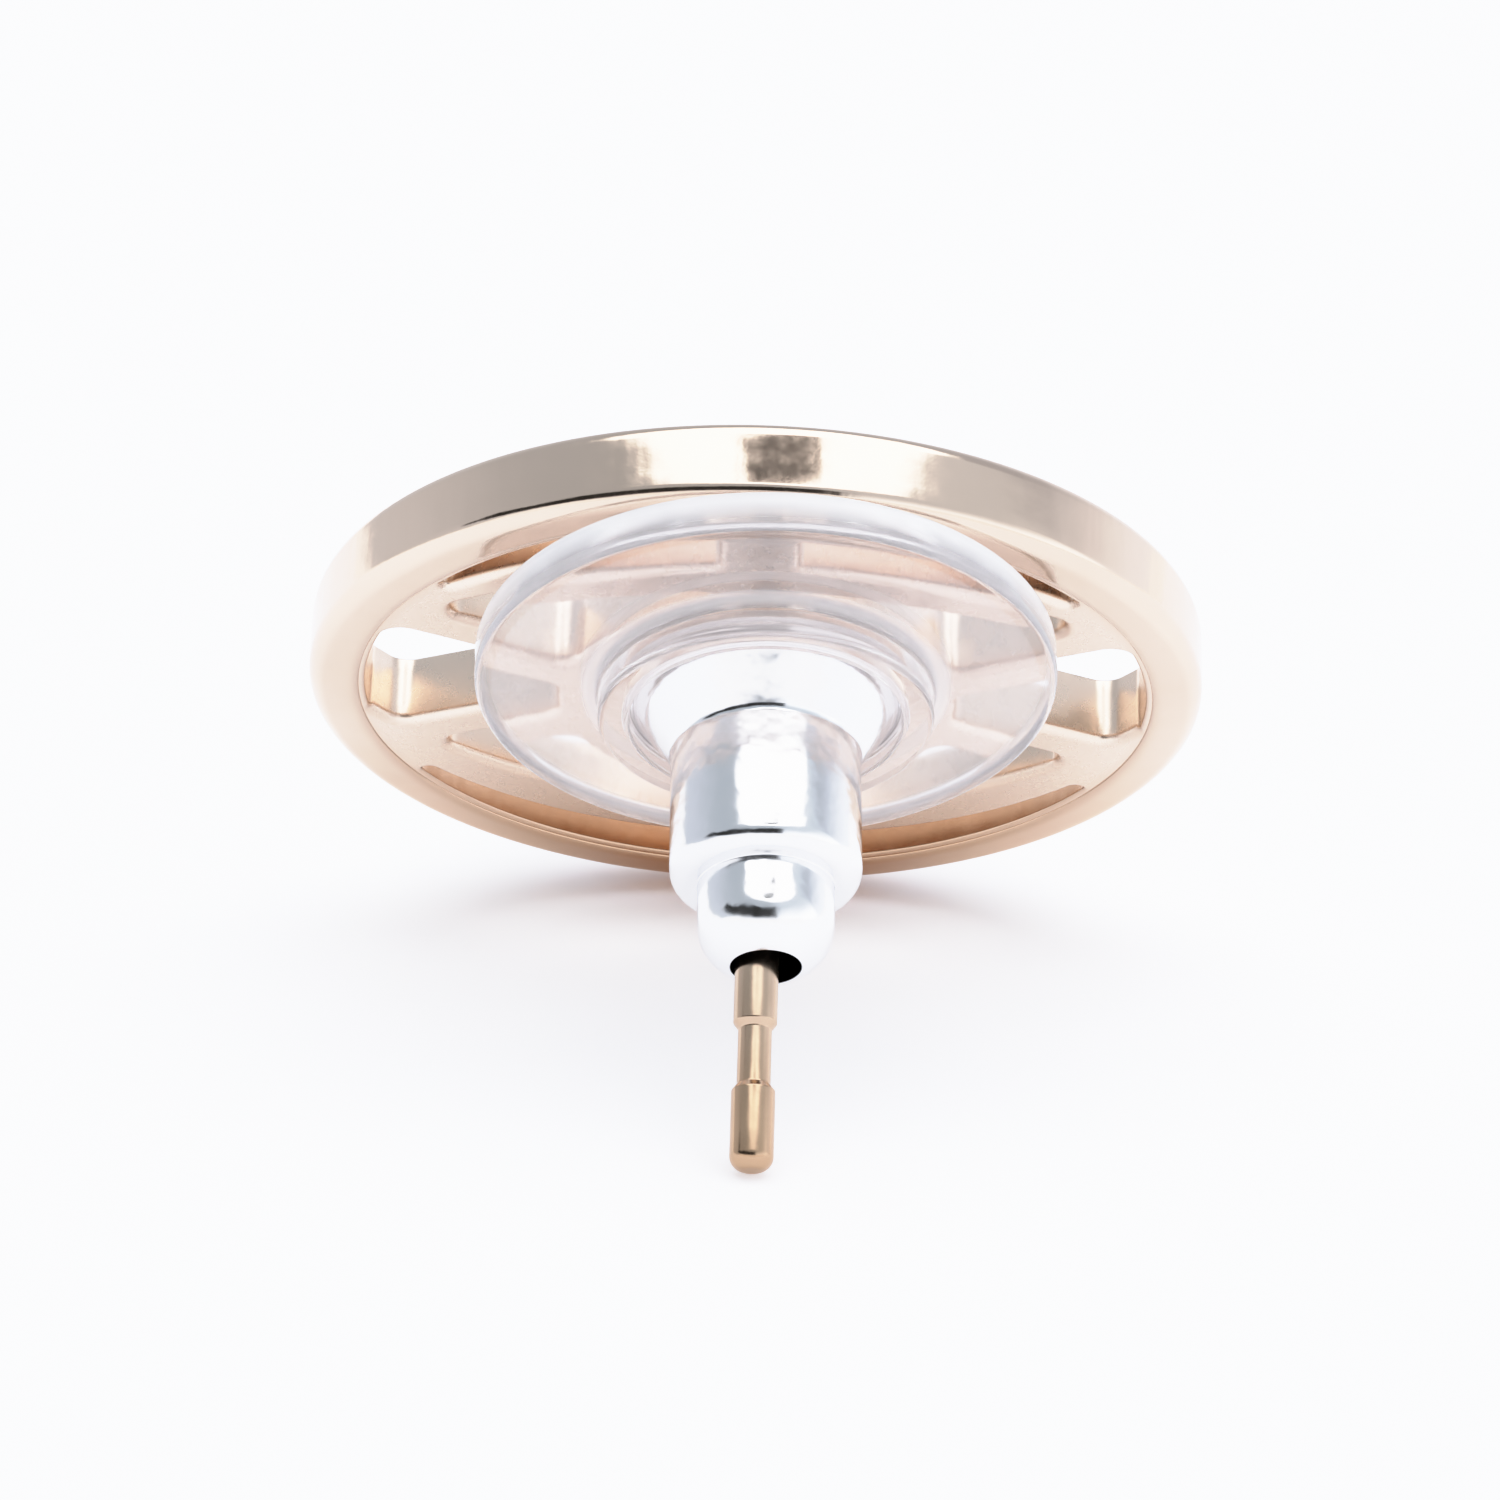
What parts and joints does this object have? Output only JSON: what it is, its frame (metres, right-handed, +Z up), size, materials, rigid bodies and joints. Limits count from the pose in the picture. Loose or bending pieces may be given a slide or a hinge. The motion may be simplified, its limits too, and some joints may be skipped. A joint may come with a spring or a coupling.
{
  "type": "stud earring",
  "caption": "Round pierced stud earring: an openwork disc with a straight post and a bullet clutch that slides on the post, its flange held in a clear comfort pad.",
  "frame": {"origin": "centre of the bounding box, on the surface that the earring rests on", "axes": "+Z up with the stud resting on its rim and its post's tip, the post's tip towards -Y, +X across the disc"},
  "size_m": [0.0172, 0.0182, 0.0122],
  "materials": {
    "gold_metal": "polished pale gold plating",
    "silver_metal": "polished",
    "clear_plastic": "clear, glossy"
  },
  "bodies": {
    "stud": {"stud_body": "gold_metal"},
    "clutch": {"bullet_clutch": "silver_metal", "comfort_pad": "clear_plastic"}
  },
  "joints": [
    {"name": "clutch_slide", "type": "slide", "parent": "stud", "child": "clutch", "axis": [0, -0.6555, -0.7552], "range_m": [0, 0.00862]}
  ]
}
